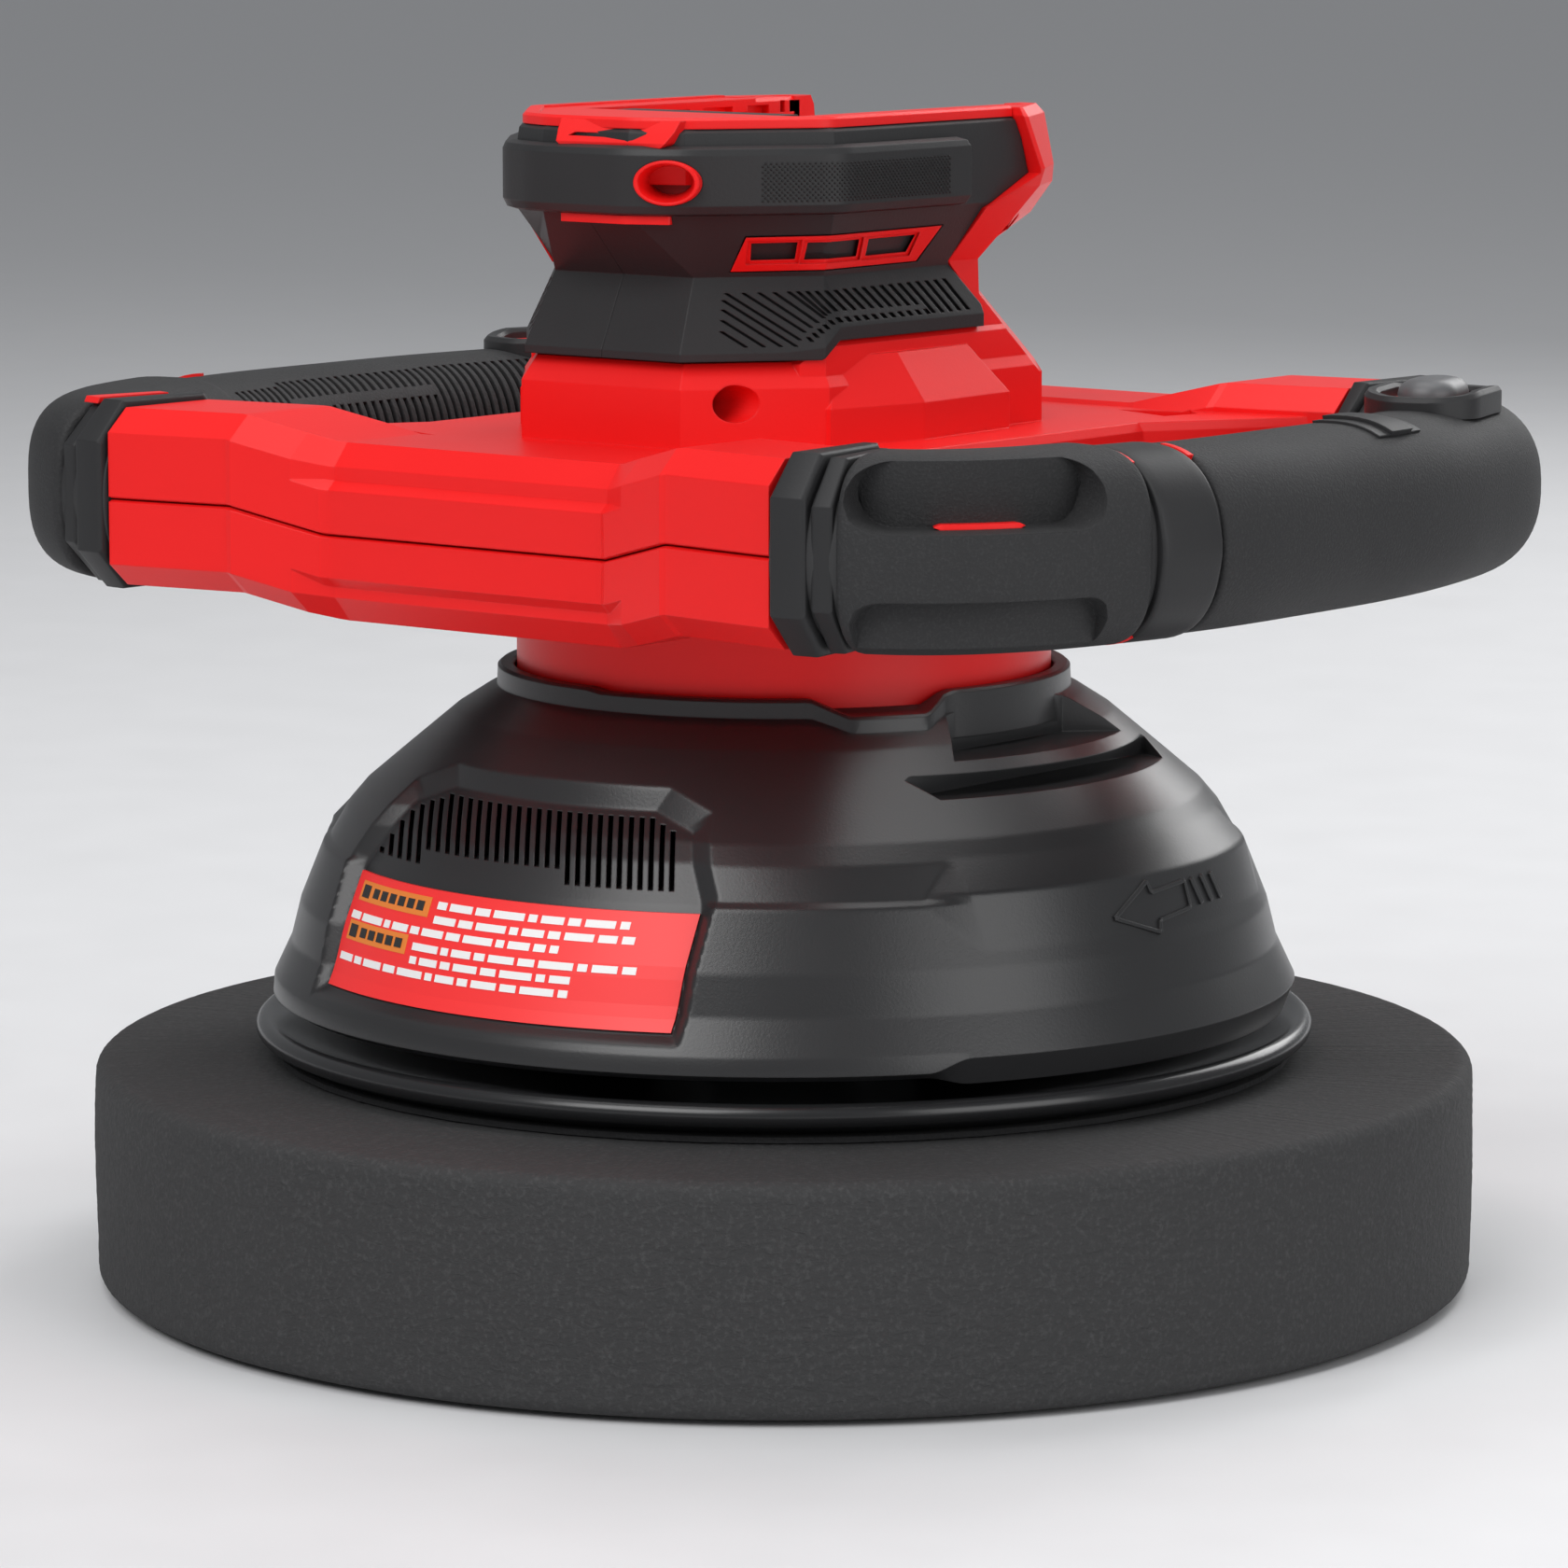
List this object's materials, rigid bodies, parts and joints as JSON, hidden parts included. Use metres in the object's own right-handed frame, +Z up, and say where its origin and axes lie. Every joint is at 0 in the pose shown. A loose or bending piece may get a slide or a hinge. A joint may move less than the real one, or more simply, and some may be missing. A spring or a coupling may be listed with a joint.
{
  "type": "dual action polisher",
  "caption": "Cordless dual action polisher with a steering-wheel handle, top battery dock, flared shroud and a large round foam pad that orbits and spins.",
  "frame": {"origin": "centre of the pad's working face on the motor axis", "axes": "+Z up along the motor axis, the front label faces -Y, the battery slides in from +Y, +X to the power button's side"},
  "size_m": [0.2551, 0.254, 0.216],
  "materials": {
    "red_plastic": "satin, moulded",
    "charcoal_plastic": "satin overmould",
    "grip_rubber": "fine sandblast",
    "shroud_plastic": "semi-gloss",
    "label_print": "plain printed film",
    "foam": "open cell foam",
    "hook_fabric": "hook and loop",
    "button_plastic": "satin",
    "screw_steel": "black oxide",
    "bright_steel": "ground",
    "motor_steel": "plated",
    "cast_aluminium": "cast",
    "magnet": "sintered",
    "copper": "enamelled copper",
    "black_nylon": "moulded",
    "carbon": "pressed carbon",
    "wire_red": "insulation",
    "wire_black": "insulation"
  },
  "bodies": {
    "housing": {"frame_upper": "red_plastic", "frame_lower": "red_plastic", "rear_spine": "red_plastic", "battery_dock": "red_plastic", "neck_cover_right": "charcoal_plastic", "neck_cover_left": "charcoal_plastic", "button_bezel": "charcoal_plastic", "left_grip_bezel": "charcoal_plastic", "right_grip": "grip_rubber", "left_grip": "grip_rubber", "dock_bumper": "grip_rubber", "shroud": "shroud_plastic", "shroud_label": "label_print", "frame_screw_1": "screw_steel", "frame_screw_2": "screw_steel", "frame_screw_3": "screw_steel", "frame_screw_4": "screw_steel", "pinch_screw": "screw_steel", "cover_screw": "screw_steel", "shroud_screw_1": "screw_steel", "shroud_screw_2": "screw_steel", "shroud_screw_3": "screw_steel", "contact_blade_1": "bright_steel", "contact_blade_2": "bright_steel", "contact_blade_3": "bright_steel", "contact_blade_4": "bright_steel", "lower_bearing_outer": "bright_steel", "upper_bearing_outer": "bright_steel", "button_spring": "bright_steel", "motor_can": "motor_steel", "bearing_plate": "cast_aluminium", "motor_end_bell": "cast_aluminium", "motor_magnet_1": "magnet", "motor_magnet_2": "magnet", "terminal_block": "black_nylon", "power_switch": "black_nylon", "brush_holder": "black_nylon", "brush_1": "carbon", "brush_2": "carbon", "motor_lead_positive": "wire_red", "motor_lead_negative": "wire_black"},
    "drive_rotor": {"motor_shaft": "bright_steel", "armature_core": "motor_steel", "winding_lower": "copper", "winding_upper": "copper", "commutator": "copper", "cooling_fan": "black_nylon", "lower_bearing_inner": "bright_steel", "upper_bearing_inner": "bright_steel", "eccentric_hub": "motor_steel", "hub_set_screw": "screw_steel", "spindle_bearing_outer": "bright_steel"},
    "pad_assembly": {"spindle_bearing_inner": "bright_steel", "pad_spindle": "bright_steel", "spindle_circlip": "screw_steel", "backing_plate": "shroud_plastic", "hook_face": "hook_fabric", "pad_bolt": "screw_steel", "foam_pad": "foam"},
    "power_button_cap": {"power_button": "button_plastic"}
  },
  "joints": [
    {"name": "drive_spin", "type": "hinge", "parent": "housing", "child": "drive_rotor", "pos_m": [0, 0, 0.1], "axis": [0, 0, 1], "continuous": true},
    {"name": "pad_spin", "type": "hinge", "parent": "drive_rotor", "child": "pad_assembly", "pos_m": [-0.00186, 0.00235, 0.07], "axis": [0, 0, 1], "continuous": true},
    {"name": "power_press", "type": "slide", "parent": "housing", "child": "power_button_cap", "axis": [0, 0, -1], "range_m": [0, 0.003], "stiffness_N_per_m": 600, "deforming": ["button_spring"]}
  ]
}
